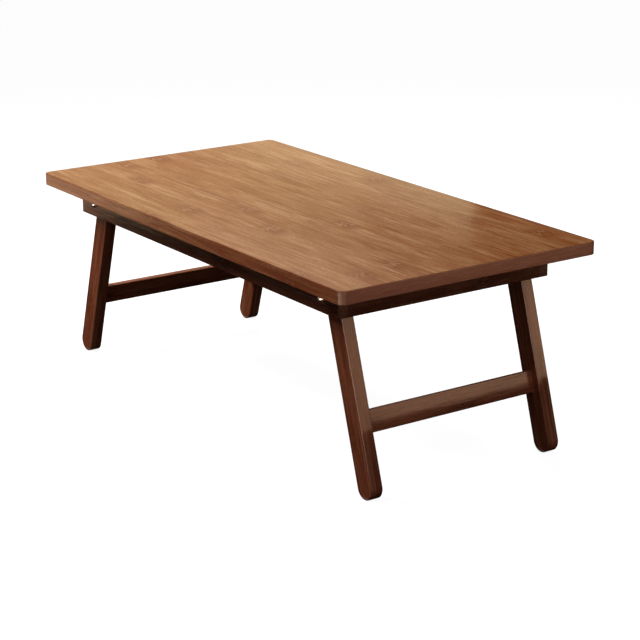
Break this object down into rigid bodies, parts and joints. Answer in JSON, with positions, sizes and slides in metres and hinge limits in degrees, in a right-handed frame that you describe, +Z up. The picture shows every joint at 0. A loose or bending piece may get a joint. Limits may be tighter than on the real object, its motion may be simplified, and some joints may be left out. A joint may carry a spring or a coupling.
{
  "type": "folding low table",
  "caption": "Rectangular bamboo low table with rounded corners and splayed leg frames that fold flat under the board.",
  "frame": {"origin": "middle of the floor rectangle under the board, level with the feet's lowest line, legs unfolded", "axes": "+X along the long side towards the right end, -Y out of the front side, +Z up"},
  "size_m": [0.76, 0.4, 0.28],
  "materials": {
    "honey_bamboo": "satin clear lacquer over carbonised laminated bamboo, grain along the length",
    "dark_bamboo": "satin walnut-brown stain over bamboo",
    "plain_wood": "plain hardwood, unfinished",
    "bright_steel": "bright plated steel",
    "zinc_steel": "zinc-plated steel",
    "black_nylon": "moulded nylon"
  },
  "bodies": {
    "table": {"table_top": "honey_bamboo", "front_rail": "dark_bamboo", "back_rail": "dark_bamboo", "left_end_rail": "dark_bamboo", "right_end_rail": "dark_bamboo", "rail_dowels": "plain_wood", "board_screws": "zinc_steel", "front_left_pivot_bolt": "bright_steel", "front_left_spacer": "black_nylon", "front_left_washer": "zinc_steel", "front_left_lock_nut": "zinc_steel", "back_left_pivot_bolt": "bright_steel", "back_left_spacer": "black_nylon", "back_left_washer": "zinc_steel", "back_left_lock_nut": "zinc_steel", "front_right_pivot_bolt": "bright_steel", "front_right_spacer": "black_nylon", "front_right_washer": "zinc_steel", "front_right_lock_nut": "zinc_steel", "back_right_pivot_bolt": "bright_steel", "back_right_spacer": "black_nylon", "back_right_washer": "zinc_steel", "back_right_lock_nut": "zinc_steel"},
    "left_legs": {"left_stretcher": "dark_bamboo", "front_left_leg": "dark_bamboo", "back_left_leg": "dark_bamboo"},
    "right_legs": {"right_stretcher": "dark_bamboo", "front_right_leg": "dark_bamboo", "back_right_leg": "dark_bamboo"}
  },
  "joints": [
    {"name": "left_leg_fold", "type": "hinge", "parent": "table", "child": "left_legs", "pos_m": [-0.29002, 0, 0.24425], "axis": [0, -1, 0], "range_deg": [0, 107.6]},
    {"name": "right_leg_fold", "type": "hinge", "parent": "table", "child": "right_legs", "pos_m": [0.29002, 0, 0.24425], "axis": [0, 1, 0], "range_deg": [0, 107.6]}
  ]
}
